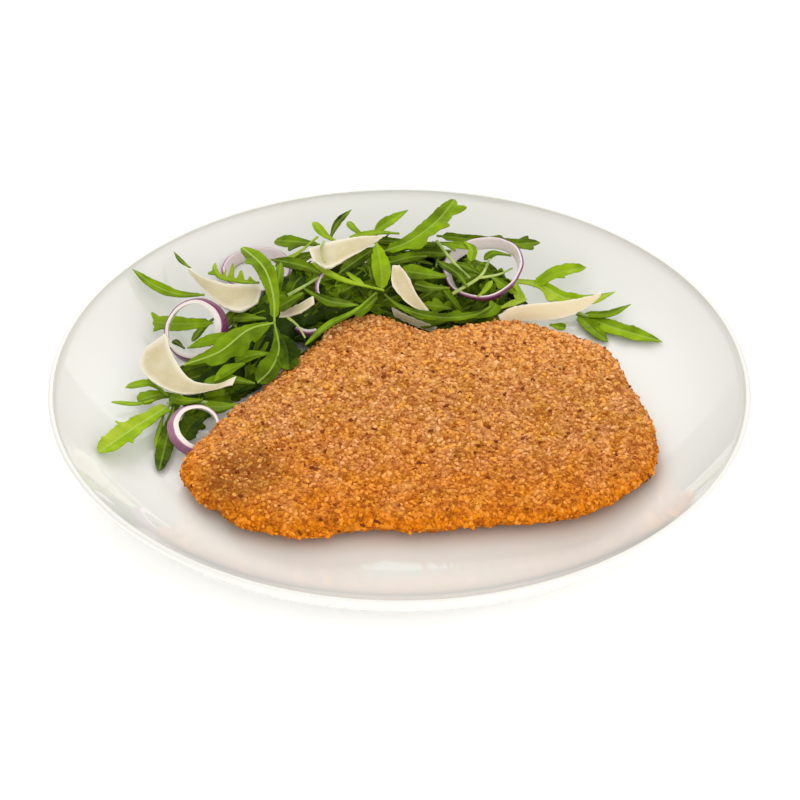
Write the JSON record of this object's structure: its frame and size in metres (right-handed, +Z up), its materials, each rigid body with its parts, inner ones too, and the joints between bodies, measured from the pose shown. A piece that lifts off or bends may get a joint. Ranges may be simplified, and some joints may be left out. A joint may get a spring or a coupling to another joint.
{
  "type": "schnitzel on a plate",
  "caption": "Breaded schnitzel on a round white coupe plate with a salad of rocket, red onion rings and shaved hard cheese.",
  "frame": {"origin": "on the plate's axis, at the level of the foot ring it stands on", "axes": "+Z up along the plate's axis; +Y towards the salad behind the schnitzel, -Y towards the free front of the plate; +X to the right as seen from the front"},
  "size_m": [0.27, 0.27, 0.0443],
  "materials": {
    "plate": "white porcelain, clear glossy glaze",
    "crumb": "fried breadcrumb, dry and rough, tan to orange brown",
    "rocket": "fresh rocket leaf, satin, yellow green to dark green with pale midribs",
    "onion": "raw red onion, moist, white to lilac flesh with purple outer skin",
    "cheese": "shaved hard cheese, ivory, waxy satin"
  },
  "bodies": {
    "root": {"plate": "plate", "schnitzel": "crumb", "rocket_heap": "rocket", "rocket_sprig": "rocket", "onion_ring_left": "onion", "onion_ring_back": "onion", "onion_ring_right": "onion", "onion_ring_front": "onion", "onion_arc_middle": "onion", "onion_strip_low": "onion", "shaving_left": "cheese", "shaving_back": "cheese", "shaving_top": "cheese", "shaving_middle": "cheese", "shaving_right": "cheese", "shaving_small": "cheese", "shaving_low": "cheese"}
  },
  "joints": []
}
